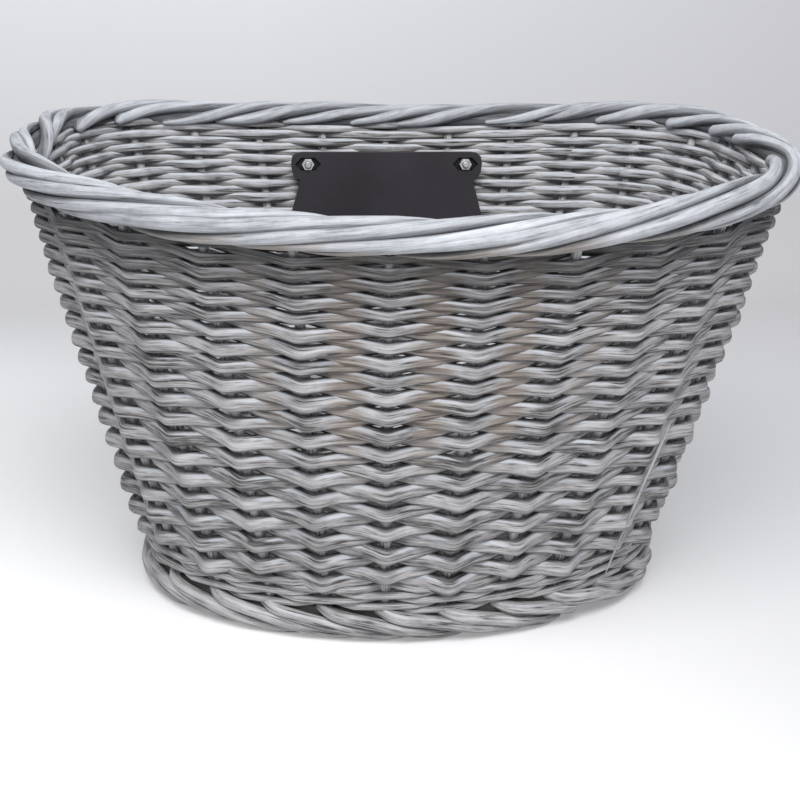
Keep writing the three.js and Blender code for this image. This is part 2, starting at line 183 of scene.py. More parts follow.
# Rim rods swell along their run and tuck in at their tips: pointed, but blunt at the basket's two ends
RIM_SWELL_STEPS = (0.0, 0.18, 0.6, 0.88, 1.0)
RIM_SWELL = (0.6, 1.0, 1.08, 1.08)
RIM_TIP_SWELL = (0.45, 1.05)
RIM_TUCK_STEPS = (0.0, 0.12, 0.84, 1.0)
RIM_TUCKS = (0.85, 1.0, 1.0)
RIM_TIP_TUCK = (0.55, 0.84)
RIM_BENDS = (140.0 * MM, 180.0 * MM)

# The rim lies loose and splayed at the left end of the basket
RIM_LOOSE_END = 5.0 * MM
RIM_LOOSE_STAKES = 1.8
RIM_SPLAY = 0.4
RIM_SPLAY_SPREAD = (-0.2, 1.0)

# Painted shade on the rim: dark in the seams between its rods and on their undersides; tan below towards
# the front
RIM_SEAM_RAMP = (2.6, -1.5)
RIM_SEAM_SHADE = 0.8
RIM_UNDERSIDE = (0.1, 0.75)
RIM_UNDERSIDE_SHADE = 0.35
RIM_BARE_REACH = 5.0

# Foot border: each stake's lower end turns along the board's edge and dives under the next ones
FOOT_ROD_RADIUS = 4.1 * MM
FOOT_PLACES = (-0.15, -0.05, 0.07, 0.25, 0.8, 1.05, 1.5, 2.1, 2.5)
FOOT_ROD_LEVELS = np.array([20.5, 20.0, 18.0, 16.0, 13.2, 11.5, 7.5, 4.2, 3.5]) * MM
FOOT_REACHES = (-0.9, 0.2, 0.85, 1.0, 1.1, 1.1, 0.8, 0.2, -1.0)
FOOT_SWELL_PLACES = (-0.15, 0.15, 1.2, 2.1)
FOOT_SWELL = (0.9, 1.05, 1.0, 0.75)
FOOT_SPREAD = (0.9, 1.1)
FOOT_LIFT = 0.5 * MM
FOOT_RINGS = 56
FOOT_CAP = 1.0
FOOT_TONES = (0.3, 1.0)
# Painted shade under the foot rods and on their inner sides, and a painted highlight on their shoulders
FOOT_UNDER_DARK = 0.8
FOOT_INSIDE_DARK = 0.5
FOOT_HIGHLIGHT = 0.6

# A stray stick lies down the front of one stake, and one foot rod is cut off short
STICK_STAKE = 3
STICK_LEVELS = (131.0 * MM, 31.0 * MM)
STICK_LEAN = (0.1, -0.12)
STICK_RADIUS = 0.9 * MM
STICK_TAPER = (1.0, 0.6)
STICK_STAND_OFF = 10.8 * MM
STICK_RINGS = 24
STICK_TONE = 0.8
STICK_LIGHT = 0.4
CUT_FOOT = 1
CUT_FOOT_END = 1.35
CUT_FOOT_CAP = 0.4

# Board, plates and fixings
BOARD_EDGE = 5.5 * MM
BOARD_BEVEL = 1.2 * MM
PLATE_BEVELS = {"inside_plate": 0.8 * MM, "receiver_plate": 0.7 * MM}
FIXING_BEVEL = 0.35 * MM
FIXING_CORNERS = ("upper_left", "upper_right", "lower_left", "lower_right")
BEVEL_SEGMENTS = 3
BOARD_SHARP = math.radians(30.0)
MOULDING_SHARP = math.radians(35.0)
MERGE_WITHIN = 1e-6
FLAT_WITHIN = math.radians(1.0)
POCKET_MARGIN = 1.0 * MM

# Tints, the four paint levels of each willow from dark to pale, and how strong its lines are. The rim's
# levels are the washed paint painted paler, as painted light on the brightly lit rim
COOL = (0.985, 1.025, 1.1)
NEUTRAL = (1.0, 0.975, 0.99)
WARM = (1.02, 0.995, 0.985)
TAN = (0.235, 0.19, 0.157)
PALE_TAN = (0.41, 0.355, 0.305)
WASHED_LEVELS = (0.10, 0.30, 0.44, 0.62)
WASHED_LINES = 1.4
RIM_LIT_LEVELS = (0.16, 0.43, 0.58, 0.75)
PALE_LINES = 0.55

# Streaks on willow: how many along a metre, how many round the rod, their detail
BROAD_STREAKS = (24.0, 3.0, 3.0)
FINE_STREAKS = (38.0, 15.0, 3.0)
HAIR_STREAKS = (75.0, 38.0, 2.0)
STREAK_ROUGHNESS = 0.6
TONE_SHIFT = 37.0
PATCHES = (70.0, 5.0, 0.65)

# Weights of broad, fine and hair streaks and of patches in each part of the look, and where it sets in
WEIGHTS = {
    "lines": (0.0, 0.8, 0.55, 0.0),
    "paint": (0.45, 0.0, 0.0, 0.35),
    "rubbed": (0.0, 0.4, 0.0, 0.9),
    "willow": (0.0, 1.0, 0.5, 0.0),
    "pale": (0.0, 0.7, 0.3, 0.0),
    "deep": (0.0, -0.35, 0.0, 0.35),
    "cracks": (0.0, 0.6, 0.5, 0.0),
    "relief": (0.5, 0.7, 0.3, 0.5),
}
SETS_IN = {
    "rubbed": (0.95, 1.45),
    "willow": (0.72, 0.95),
    "pale": (0.75, 1.15),
    "deep": (0.3, 0.95),
    "cracks": (0.46, 0.38),
}
LINES_MEAN = 0.675
PAINT_STOPS = (0.26, 0.42, 0.56, 0.74)
PAINT_TONE = 0.16
PAINT_BASE = 0.015
RUBBED_MOST = 0.75
# How strongly a rod's light mark paints highlights and light, and its dark mark paints shade in the
# crevices
PALE_MARK = 0.8
PALE_MOST = 0.8
PALEST_SHARE = 1.12
DEEP_MARK = 0.9
DEEP_MOST = 0.9
DARKEST_SHARE = 0.4
CRACKS_MOST = 0.8
WILLOW_SPECULAR = 0.45
WILLOW_ROUGHNESS = 0.42
PATCH_ROUGHNESS = 0.3
DEEP_ROUGHNESS = 0.15
WILLOW_BUMP = (0.6, 0.7 * MM)

# Painted plywood
BOARD_GRAIN = (14.0, 120.0, 40.0)
BOARD_GRAIN_DETAIL = 5.0
BOARD_SPECKS = (160.0, 4.0)
BOARD_MIX = (0.7, 0.4, -0.05)
BOARD_STOPS = ((0.25, 0.06), (0.55, 0.10), (0.85, 0.16))
BOARD_SPECULAR = 0.3
BOARD_ROUGHNESS = (0.6, 0.25)
BOARD_SPECK_HEIGHT = 0.4
BOARD_BUMP = (0.3, 0.5 * MM)

# Moulded plastic and zinc plate
PLASTIC_GRAIN = (1400.0, 2.0)
PLASTIC_CLOUD = (22.0, 3.0)
PLASTIC_MIX = (0.7, 0.3)
PLASTIC_STOPS = [(0.3, (0.026, 0.023, 0.028)), (0.7, (0.040, 0.036, 0.043))]
PLASTIC_POCKET_SHADE = (0.004, 0.004, 0.005)
PLASTIC_SPECULAR = 0.4
PLASTIC_ROUGHNESS = (0.42, 0.18)
PLASTIC_BUMP = (0.25, 0.2 * MM)
ZINC_CLOUD = (420.0, 4.0)
ZINC_STOPS = [(0.3, (0.66, 0.67, 0.69)), (0.7, (0.86, 0.87, 0.88))]
ZINC_METALLIC = 0.85
ZINC_ROUGHNESS = (0.36, 0.2)
ZINC_BUMP = (0.15, 0.1 * MM)

# Stage: a floor that curves up into a backdrop
FLOOR_BACK = 0.66
FLOOR_CURVE = 0.08
CURVE_STEPS = 16
STAGE_WIDTH = 24.0
STAGE_RISE = 3.0
STAGE_FRONT = -5.0
STAGE_GLOW = 0.38
STAGE_BOUNCE = 0.78

# Its paper: left and right colours of the back and the front, the low back corner, and where they turn
# over. The darker back, right and low corner are painted shade
PAPER_BACK = ((0.66, 0.669, 0.688), (0.53, 0.53, 0.556))
PAPER_FRONT = ((0.85, 0.85, 0.855), (0.52, 0.52, 0.535))
PAPER_CORNER_SHADE = (0.50, 0.495, 0.505)
BACK_ACROSS = (-0.02, 0.5)
FRONT_ACROSS = (-0.05, 0.45)
CORNER_RISE = (-0.66, -0.36)
BACK_TO_FRONT = (0.4, -0.2)
FRONT_SLANT = 0.35
PAPER_CLOUD = (1.5, 2.0)
PAPER_CLOUD_SHIFT = 0.1
PAPER_PLAIN = {"Roughness": 0.9, "Specular IOR Level": 0.1}

# Light
LAMP_PLACE = Vector((-0.05, -0.78, 1.17))
LAMP_TARGET = Vector((0.0, -0.05, 0.12))
LAMP_SIZE = 0.9
LAMP_POWER = 17.2
ROOM_COLOUR = (0.93, 0.95, 1.0, 1.0)
ROOM_LIGHT = 0.28

# The photograph's view
CAMERA_PLACE = Vector((-0.0912, -0.9332, 0.4514))
CAMERA_YAW = 0.096
CAMERA_PITCH = 0.3543
CAMERA_ROLL = 0.018
PHOTO_PIXELS = 800
FOCAL_PIXELS = 1641.2
AXIS_BELOW_MIDDLE = 13.5
SENSOR = 36.0


# Small sums

def between(ends, share):
    """A value on the way from the first end to the second."""
    return ends[0] + (ends[1] - ends[0]) * share


def ramped(values, gain=1.0, offset=0.0):
    """Values stretched, shifted and kept between 0 and 1."""
    return np.clip(gain * values + offset, 0, 1)


def rounded(values, reach=2):
    """Takes the corners off a run of values."""
    window = np.ones(2 * reach + 1)
    return np.convolve(np.pad(values, reach, mode="edge"), window / len(window), mode="valid")


def unit(vectors):
    return vectors / np.linalg.norm(vectors, axis=-1, keepdims=True)


def smooth_noise(generator, count, spacing):
    """Smooth noise from -1 to 1 with a knot every so many steps."""
    knots = generator.uniform(-1, 1, count // spacing + 3)
    place = np.arange(count) / spacing
    whole = place.astype(int)
    part = place - whole
    part = part * part * (3 - 2 * part)
    return knots[whole] * (1 - part) + knots[whole + 1] * part


# The wall, read from the stakes of the frame

def stake_line(node):
    """The two ends of a stake's centre line, from its vertices."""
    points = np.unique(np.round([v.co for v in node.data.vertices], VERTEX_DECIMALS), axis=0)
    middle = points[:, 2].mean()
    return points[points[:, 2] < middle].mean(axis=0), points[points[:, 2] > middle].mean(axis=0)


STAKE_NAMES = sorted(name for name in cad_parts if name.startswith("stake_"))
STAKES = len(STAKE_NAMES)
FEET, TIPS = (np.array(ends) for ends in zip(*(stake_line(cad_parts[name]) for name in STAKE_NAMES)))
MIDDLE_BACK = STAKES // 2
FOOT_LEVEL = FEET[MIDDLE_BACK, 2]
TIP_LEVEL = TIPS[MIDDLE_BACK, 2]
LEFT_END = int(np.argmin(TIPS[:, 0]))


def around(ring, stake):
    """A smooth closed curve through a ring of points, at fractional stake numbers."""
    whole = np.floor(stake).astype(int)
    part = (stake - whole)[..., None]
    before, here, after, beyond = (ring[(whole + step) % STAKES] for step in (-1, 0, 1, 2))
    slope_here = (after - before) / 2
    slope_after = (beyond - here) / 2
    rise = after - here
    return (here + part * (slope_here + part * ((3 * rise - 2 * slope_here - slope_after)
                                                + part * (slope_here + slope_after - 2 * rise))))


def stakes_from(stake, other):
    """How many stakes from another one, the shorter way round."""
    return (stake - other + STAKES / 2) % STAKES - STAKES / 2


def height_share(level):
    return (level - FOOT_LEVEL) / (TIP_LEVEL - FOOT_LEVEL)


def stake_radius(level):
    return between(STAKE_RADIUS, height_share(level))


def wall_point(stake, level):
    share = np.asarray(height_share(level))[..., None]
    return around(FEET, stake) * (1 - share) + around(TIPS, stake) * share


def wall_along(stake, level):
    nudge = 0.05
    return wall_point(stake + nudge, level) - wall_point(stake - nudge, level)


def wall_out(stake, level):
    """The level direction out of the wall."""
    return unit(np.cross(wall_along(stake, level), UP))


def wall_normal(stake, level):
    """The direction square to the sloping wall."""
    return unit(np.cross(wall_along(stake, level), around(TIPS, stake) - around(FEET, stake)))


# Rows of the weave get finer towards the rim

MEAN_PITCH = (WEAVE_TOP - WEAVE_BOTTOM) / (ROWS + 1)
PITCH_LOSS = 2 * (BOTTOM_PITCH - MEAN_PITCH) / (ROWS + 1)


def row_edge(row):
    return WEAVE_BOTTOM + BOTTOM_PITCH * row - PITCH_LOSS * row * row / 2


def row_pitch(row):
    return BOTTOM_PITCH - PITCH_LOSS * (row + 0.5)


# Meshes and pieces

def into_scene(thing):
    bpy.context.scene.collection.objects.link(thing)


def smooth_mesh(name, points, faces):
    mesh = bpy.data.meshes.new(name)
    mesh.from_pydata(points, [], faces)
    mesh.polygons.foreach_set("use_smooth", [True] * len(faces))
    return mesh


def mark(mesh, label, values):
    """Gives each point of a mesh a number that its finish reads by this label."""
    attribute = mesh.attributes.new(label, "FLOAT", "POINT")
    attribute.data.foreach_set("value", values.astype(np.float32))


def settle(piece, finish, slot, *nodes):
    """Puts a finished piece in the scene with its material and body, and hides the nodes that it stands
    for. Its slot is not used.
    """
    into_scene(piece)
    piece.data.materials.clear()
    piece.data.materials.append(finish)
    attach(piece, BODY)
    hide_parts(*nodes)


# Rods: tubes with a tone of their own, a map along and round them, and marks for where their paint is
# rubbed off and where painted shade and painted light fall

ROUND = np.arange(ROD_SIDES) / ROD_SIDES
UPWARD = np.cos(2 * np.pi * ROUND)
OUTWARD = np.sin(2 * np.pi * ROUND)
# Masks round a rod: painted shade at its top and bottom edges and under it, a painted highlight on its
# upper shoulders
ON_EDGE = ramped(np.abs(UPWARD), *ON_EDGE_RAMP)
UNDER_SIDE_SHADE = ramped(-UPWARD, *UNDER_EDGE_RAMP)
SHOULDER_HIGHLIGHT = np.interp(np.abs(OUTWARD), SHOULDER_PLACES, SHOULDER_LIGHT) * (UPWARD > 0)


class RodBundle:
    """Collects rods into one mesh."""

    def __init__(self):
        self.points, self.sides, self.side_maps, self.caps, self.cap_maps = [], [], [], [], []
        self.marks = {label: [] for label in MARKS}
        self.count = 0

    def add(self, path, half_height, half_depth, stand=UP, cap=ROD_CAP, blunt=1.0, **wear_and_painted_light):
        """A rod along path. stand is the direction that its height lies along, cap how round its ends are,
        blunt how square its section is (1 is round), and the other keywords its marks: tone, rubbed-off
        paint, painted shade and painted light."""
        steps = len(path)
        along = unit(np.gradient(path, axis=0))
        stand = np.broadcast_to(stand, path.shape)
        height = unit(stand - along * np.sum(stand * along, axis=1, keepdims=True))
        depth = np.cross(along, height)
        length = np.concatenate([[0], np.cumsum(np.linalg.norm(np.diff(path, axis=0), axis=1))])
        thick = (half_height + half_depth) / 2
        to_end = np.minimum(length, length[-1] - length)
        shrink = np.sqrt(np.clip(1 - (1 - ramped(to_end / (thick * cap))) ** 2, CAP_LEAST, 1))
        up, out = ((np.sign(part) * np.abs(part) ** blunt)[None, :, None] for part in (UPWARD, OUTWARD))
        ring = (path[:, None] + height[:, None] * (half_height * shrink)[:, None, None] * up
                + depth[:, None] * (half_depth * shrink)[:, None, None] * out)
        self.points.append(ring.reshape(-1, 3))
        for label, values in self.marks.items():
            values.append(np.broadcast_to(wear_and_painted_light.get(label, 0.0), (steps, ROD_SIDES)).reshape(-1))
        self._skin(steps, length)

    def _skin(self, steps, length):
        """The faces of the newest rod, and their places on its map."""
        index = self.count + np.arange(steps * ROD_SIDES).reshape(steps, ROD_SIDES)
        turned = np.roll(index, -1, axis=1)
        quads = np.stack([index[:-1], turned[:-1], turned[1:], index[1:]], axis=-1)
        self.sides.append(quads.reshape(-1, 4))
        near, far = (np.broadcast_to(edge[:, None], (steps - 1, ROD_SIDES))
                     for edge in (length[:-1], length[1:]))
        left = np.broadcast_to(ROUND, near.shape)
        right = left + 1 / ROD_SIDES
        corners = np.stack([near, left, near, right, far, right, far, left], axis=-1)
        self.side_maps.append(corners.reshape(-1, 2))
        for ends, place in ((index[0][::-1], length[0]), (index[-1], length[-1])):
            self.caps.append(ends.tolist())
            self.cap_maps.append(np.stack([np.full(ROD_SIDES, place), ROUND], axis=-1))
        self.count += steps * ROD_SIDES

    def piece(self, name, finish, slot, *nodes):
        """The rods as one piece that stands for these nodes."""
        faces = np.concatenate(self.sides).tolist() + self.caps
        mesh = smooth_mesh(name, np.concatenate(self.points).tolist(), faces)
        corners = np.concatenate(self.side_maps + self.cap_maps)
        layer = mesh.uv_layers.new(name="rod_map")
        layer.data.foreach_set("uv", corners.ravel().astype(np.float32))
        for label, values in self.marks.items():
            mark(mesh, label, np.concatenate(values))
        mesh.update()
        settle(bpy.data.objects.new(name, mesh), finish, slot, *nodes)


# Shader maths, and the numbers of the sockets that are called by number

MIX_COLOURS = (6, 7)
MIXED_COLOUR = 2
ATTRIBUTE_NUMBER = 2
OBJECT_PLACE = 3
SEEN_FROM_BEHIND = 6


class Wire:
    """A shader socket that takes part in sums like a number."""

    def __init__(self, finish, socket):
        self.finish = finish
        self.socket = socket

    def _maths(self, operation, first, second):
        return self.finish.node("ShaderNodeMath", {"operation": operation}, {0: first, 1: second})

    def __add__(self, other):
        return self._maths("ADD", self, other)

    def __radd__(self, other):
        return self._maths("ADD", other, self)

    def __sub__(self, other):
        return self._maths("SUBTRACT", self, other)

    def __rsub__(self, other):
        return self._maths("SUBTRACT", other, self)

    def __mul__(self, other):
        return self._maths("MULTIPLY", self, other)

    def __rmul__(self, other):
        return self._maths("MULTIPLY", other, self)


class Finish:
    """A material's node tree, with one method that adds any node."""

    def __init__(self, name):
        self.material = bpy.data.materials.new(name)
        self.material.use_nodes = True
        self.tree = self.material.node_tree
        self.tree.nodes.clear()

    def node(self, kind, settings=None, inputs=None, output=0):
        made = self.tree.nodes.new(kind)
        for name, value in (settings or {}).items():
            if name == "stops":
                self._stops(made.color_ramp, value)
            else:
                setattr(made, name, value)
        for name, value in (inputs or {}).items():
            if isinstance(value, Wire):
                self.tree.links.new(value.socket, made.inputs[name])
            else:
                made.inputs[name].default_value = value
        return Wire(self, made.outputs[output]) if made.outputs else None

    @staticmethod
    def _stops(ramp, stops):
        while len(ramp.elements) < len(stops):
            ramp.elements.new(1.0)
        for element, (place, colour) in zip(ramp.elements, stops):
            element.position = place
            element.color = (*colour, 1.0)

    def surface(self, **inputs):
        """Ends the tree in a Principled surface. Its inputs are written with underscores for blanks."""
        named = {label.replace("_", " "): value for label, value in inputs.items()}
        return self.ended(self.node("ShaderNodeBsdfPrincipled", {}, named))

    def ended(self, shader):
        self.node("ShaderNodeOutputMaterial", {}, {"Surface": shader})
        return self.material

    def mixed(self, share, first, second):
        """One colour fading into another."""
        colours = [end if isinstance(end, Wire) else (*end, 1.0) for end in (first, second)]
        return self.node("ShaderNodeMix", {"data_type": "RGBA"},
                         {0: share, **dict(zip(MIX_COLOURS, colours))}, MIXED_COLOUR)

    def ramp(self, share, stops):
        return self.node("ShaderNodeValToRGB", {"stops": stops}, {"Fac": share})

    def clamped(self, value, low, high):
        """Value from low to high, mapped to 0 to 1."""
        return self.node("ShaderNodeMapRange", {"clamp": True},
                         {"Value": value, "From Min": low, "From Max": high, "To Min": 0.0, "To Max": 1.0})

    def noise(self, vector, scale, detail, roughness=0.55):
        return self.node("ShaderNodeTexNoise", {},
                         {"Vector": vector, "Scale": scale, "Detail": detail, "Roughness": roughness})

    def mark(self, label):
        """The number that the mesh carries under this label."""
        return self.node("ShaderNodeAttribute", {"attribute_name": label}, output=ATTRIBUTE_NUMBER)

    def place(self):
        """Where on the object, in metres."""
        return self.node("ShaderNodeTexCoord", output=OBJECT_PLACE)

    def parts(self, vector):
        """The three numbers of a vector."""
        split = self.node("ShaderNodeSeparateXYZ", {}, {0: vector}).socket.node
        return [Wire(self, socket) for socket in split.outputs]

    def bump(self, height, strength, distance):
        return self.node("ShaderNodeBump", {},
                         {"Strength": strength, "Distance": distance, "Height": height})


def grey(level, tint=(1.0, 1.0, 1.0)):
    return tuple(level * share for share in tint)


# Finishes

def willow_finish(name, levels, tint, line_strength):
    """Thin grey paint brushed along willow: streaks, bare where it rubbed off, painted shade in the
    crevices, and painted highlights and light where the rods are marked for them.
    """
    finish = Finish(name)
    along, across, _ = finish.parts(finish.node("ShaderNodeUVMap", {"uv_map": "rod_map"}))
    tone, dark, bare, light = (finish.mark(label) for label in MARKS)

    def streaks(lengthwise, crosswise, detail):
        """Noise drawn out along the rod, different on each rod."""
        vector = finish.node("ShaderNodeCombineXYZ", {},
                             {0: along * lengthwise, 1: across * crosswise, 2: tone * TONE_SHIFT})
        return finish.noise(vector, 1.0, detail, STREAK_ROUGHNESS)

    patches = finish.noise(finish.place(), *PATCHES)
    layers = [streaks(*kind) for kind in (BROAD_STREAKS, FINE_STREAKS, HAIR_STREAKS)] + [patches]

    def weighed(look):
        """The streaks and patches, by their weights in one part of the look."""
        total = 0.0
        for layer, weight in zip(layers, WEIGHTS[look]):
            if weight:
                total = layer * weight + total
        return total

    def shown(look, marked=0.0):
        """How much of one part of the look shows: more where it is marked."""
        return finish.clamped(weighed(look) + marked, *SETS_IN[look])

    lines = weighed("lines") - LINES_MEAN
    brushed = weighed("paint") + lines * line_strength + tone * PAINT_TONE + PAINT_BASE
    paint = finish.ramp(brushed, [(stop, grey(level, tint)) for stop, level in zip(PAINT_STOPS, levels)])
    willow = finish.mixed(shown("willow"), TAN, PALE_TAN)
    worn = finish.mixed(shown("rubbed", bare) * RUBBED_MOST, paint, willow)
    # The palest colour: pale dry-brushed streaks, and painted highlights and light where a rod is marked
    # light
    palest = grey(levels[-1] * PALEST_SHARE, COOL)
    lined = finish.mixed(shown("pale", light * PALE_MARK) * PALE_MOST, worn, palest)
    # Painted shade in the crevices where a rod is marked dark, with real cracks in the paint
    deep = shown("deep", dark * DEEP_MARK)
    crevices = deep * DEEP_MOST + shown("cracks") * (CRACKS_MOST * line_strength)
    colour = finish.mixed(finish.clamped(crevices, 0.0, 1.0), lined, grey(levels[0] * DARKEST_SHARE, tint))
    return finish.surface(Base_Color=colour, Specular_IOR_Level=WILLOW_SPECULAR,
                          Roughness=WILLOW_ROUGHNESS + patches * PATCH_ROUGHNESS + deep * DEEP_ROUGHNESS,
                          Normal=finish.bump(weighed("relief"), *WILLOW_BUMP))


def board_finish():
    """Dark grey paint on plywood."""
    finish = Finish("painted_plywood")
    place = finish.place()
    stretched = finish.node("ShaderNodeMapping", {}, {"Vector": place, "Scale": BOARD_GRAIN})
    grain = finish.noise(stretched, 1.0, BOARD_GRAIN_DETAIL)
    specks = finish.noise(place, *BOARD_SPECKS)
    stops = [(stop, grey(level, WARM)) for stop, level in BOARD_STOPS]
    colour = finish.ramp(grain * BOARD_MIX[0] + specks * BOARD_MIX[1] + BOARD_MIX[2], stops)
    return finish.surface(Base_Color=colour, Specular_IOR_Level=BOARD_SPECULAR,
                          Roughness=BOARD_ROUGHNESS[0] + specks * BOARD_ROUGHNESS[1],
                          Normal=finish.bump(grain + specks * BOARD_SPECK_HEIGHT, *BOARD_BUMP))


def moulded_finish():
    """Black plastic with the fine grain of its mould, and painted shade in its nut pockets."""
    finish = Finish("moulded_black")
    place = finish.place()
    grain = finish.noise(place, *PLASTIC_GRAIN)
    cloud = finish.noise(place, *PLASTIC_CLOUD)
    plain = finish.ramp(cloud * PLASTIC_MIX[0] + grain * PLASTIC_MIX[1], PLASTIC_STOPS)
    colour = finish.mixed(finish.mark("deep"), plain, PLASTIC_POCKET_SHADE)
    return finish.surface(Base_Color=colour, Specular_IOR_Level=PLASTIC_SPECULAR,
                          Roughness=PLASTIC_ROUGHNESS[0] + cloud * PLASTIC_ROUGHNESS[1],
                          Normal=finish.bump(grain, *PLASTIC_BUMP))


def zinc_finish():
    """Bright zinc plate with faint turning marks."""
    finish = Finish("bright_zinc")
    cloud = finish.noise(finish.place(), *ZINC_CLOUD)
    return finish.surface(Base_Color=finish.ramp(cloud, ZINC_STOPS), Metallic=ZINC_METALLIC,
                          Roughness=ZINC_ROUGHNESS[0] + cloud * ZINC_ROUGHNESS[1],
                          Normal=finish.bump(cloud, *ZINC_BUMP))


def paper_finish():
    """Pale paper, painted a little darker at the back and towards the right, and in its low back corner, as
    painted shade.
    It shines a little for the camera alone, and is clear from behind, so that it doesn't stand in the way
    there."""
    finish = Finish("pale_paper")
    place = finish.place()
    across, away, up = finish.parts(place)
    cloud = finish.noise(place, *PAPER_CLOUD)
    # Painted shade: darker towards the back, the right and the low back corner
    back = finish.mixed(finish.clamped(across + cloud * PAPER_CLOUD_SHIFT, *BACK_ACROSS), *PAPER_BACK)
    back = finish.mixed(finish.clamped(up - away, *CORNER_RISE), PAPER_CORNER_SHADE, back)
    front = finish.mixed(finish.clamped(across, *FRONT_ACROSS), *PAPER_FRONT)
    colour = finish.mixed(finish.clamped(away + across * FRONT_SLANT, *BACK_TO_FRONT), back, front)
    bounce = {"Base Color": (*grey(STAGE_BOUNCE), 1.0)}
    glow = {"Base Color": colour, "Emission Color": colour, "Emission Strength": STAGE_GLOW}
    lit, seen = (finish.node("ShaderNodeBsdfPrincipled", {}, {**PAPER_PLAIN, **look})
                 for look in (bounce, glow))
    rays = finish.node("ShaderNodeLightPath").socket.node.outputs
    to_camera, glossy, through = (Wire(finish, rays[label]) for label in
                                  ("Is Camera Ray", "Is Glossy Ray", "Is Transmission Ray"))
    shown = finish.clamped(to_camera + glossy + through, 0.0, 1.0)
    paper = finish.node("ShaderNodeMixShader", {}, {0: shown, 1: lit, 2: seen})
    behind = finish.node("ShaderNodeNewGeometry", output=SEEN_FROM_BEHIND)
    clear = finish.node("ShaderNodeBsdfTransparent")
    return finish.ended(finish.node("ShaderNodeMixShader", {}, {0: behind, 1: paper, 2: clear}))


# Woven rods

FIRST_STAKE = 2 - STAKES
LAST_STAKE = (ROWS + 1) * STAKES - 2


def over_and_under(stake):
    """From 1 in front of an even stake to -1 behind an odd one, kinked at the stakes and flat between."""
    nearest = np.round(stake)
    side = 1 - 2 * (nearest % 2)
    fold = np.hypot(stake - nearest, STAKE_BEND) - STAKE_BEND
    return side * (1 - fold / (math.hypot(0.5, STAKE_BEND) - STAKE_BEND)) ** STROKE_PEAK


def stake_steps(start, end):
    """Places along a rod, closest at its kinks and its ends."""
    inner = (np.arange(math.floor(start), math.ceil(end) + 1)[:, None] + KINK_STEPS).ravel()
    inner = inner[(inner > start + END_STEPS[-1]) & (inner < end - END_STEPS[-1])]
    return np.concatenate([start + END_STEPS, inner, end - END_STEPS[::-1]])


def front_share(stake, reach):
    """1 in the middle of the front, down to 0 so many stakes away from it."""
    return ramped(1 - np.abs(stakes_from(stake, BARE_STAKE)) / reach, BARE_PLATEAU)


def woven_unevenness(generator, stake):
    """A rod's thickness by its usual one: from thick to thin, uneven, and tapered at both ends."""
    count = len(stake)
    uneven = np.linspace(*ROD_TAPER, count) * generator.uniform(*ROD_SPREAD)
    uneven = uneven * (1 + ROD_UNEVEN * smooth_noise(generator, count, len(KINK_STEPS)))
    to_tip = np.minimum(stake - stake[0], stake[-1] - stake)
    return uneven * np.interp(to_tip, (0, ROD_OVERLAP), (ROD_TIP, 1))


def woven_wear_shade_and_light(stake, level, swing):
    """Where a woven rod's paint is rubbed off, and where painted shade and painted light fall on it."""
    # Painted shade under a rod, on its hidden side, on its edges at the crossings and in the rim's shadow;
    # painted light on its hidden side and inside the basket, and a painted highlight on its shoulders at
    # the crossings. The rubbed-off paint is real
    crossing = 1 - np.abs(swing)[:, None]
    behind = ramped(-OUTWARD * swing[:, None])
    below_rim = np.interp(level, RIM_SHADE_LEVELS, (0, RIM_SHADE))[:, None] * ramped(OUTWARD)
    inside = ramped(-OUTWARD) * ramped(-swing[:, None], 1.0, INSIDE_REACH)
    at_crossing = ON_EDGE * ramped(crossing, CROSSING_DARK)
    rubbed = front_share(stake, BARE_REACH) * np.interp(level, BARE_LEVELS, (0, 1))
    shoulder = SHOULDER_HIGHLIGHT * ramped(crossing, *CROSSING_LIGHT)
    return {"dark": ramped(UNDER_SIDE_SHADE * UNDER_DARK + at_crossing + BEHIND_DARK * behind + below_rim),
            "bare": crossing ** BARE_CROSSING * rubbed[:, None],
            "light": shoulder + BEHIND_PAINTED_LIGHT * behind + INSIDE_PAINTED_LIGHT * inside}


def woven_rod(bundle, generator, stake, lower, upper, swing):
    """One rod between the edges of its row, round on a stake and pressed flat against others between."""
    row = np.clip(stake / STAKES, 0, ROWS)
    pitch = upper - lower
    uneven = woven_unevenness(generator, stake)
    usual = np.interp(row, [0, ROWS / 2, ROWS], ROD_THICKNESS)
    full = usual * uneven * np.minimum(1, pitch / row_pitch(row)) + ROD_MARGIN
    packed = np.maximum(pitch * CROSSING_FILL * uneven, full)
    half_height = (packed + (full - packed) * ramped(np.abs(swing), *ROD_ROUNDING)) / 2
    half_depth = full * ROD_DEPTH_SHARE / 2
    sway = ROD_SWAY * pitch * smooth_noise(generator, len(stake), len(KINK_STEPS))
    level = (lower + upper) / 2 + sway
    stand_off = stake_radius(level) * ROD_HUG + half_depth
    bulge = np.where(swing > 0, OUTER_BULGE, 1.0) * stand_off * swing
    path = wall_point(stake, level) + wall_normal(stake, level) * bulge[:, None]
    bundle.add(path, half_height, half_depth, blunt=ROD_BLUNT, tone=generator.uniform(0, 1),
               **woven_wear_shade_and_light(stake, level, swing))


def weaver_edges(generator):
    """Where one weaver follows another along the spiral: behind a stake, not always the same one."""
    shifts = 1 + 2 * generator.integers(*JOIN_SHIFTS, WEAVERS - 1)
    return [FIRST_STAKE, *(ROUNDS * STAKES * np.arange(1, WEAVERS) + shifts).tolist(), LAST_STAKE]


def rod_spans(generator, first, last):
    """Where the rods of one weaver follow each other, always behind a stake."""
    joins = [first]
    while last - joins[-1] > 2 * HALF_ROD_STAKES[1]:
        joins.append(joins[-1] + 2 * int(generator.integers(*HALF_ROD_STAKES)))
    return zip(joins, joins[1:] + [last])


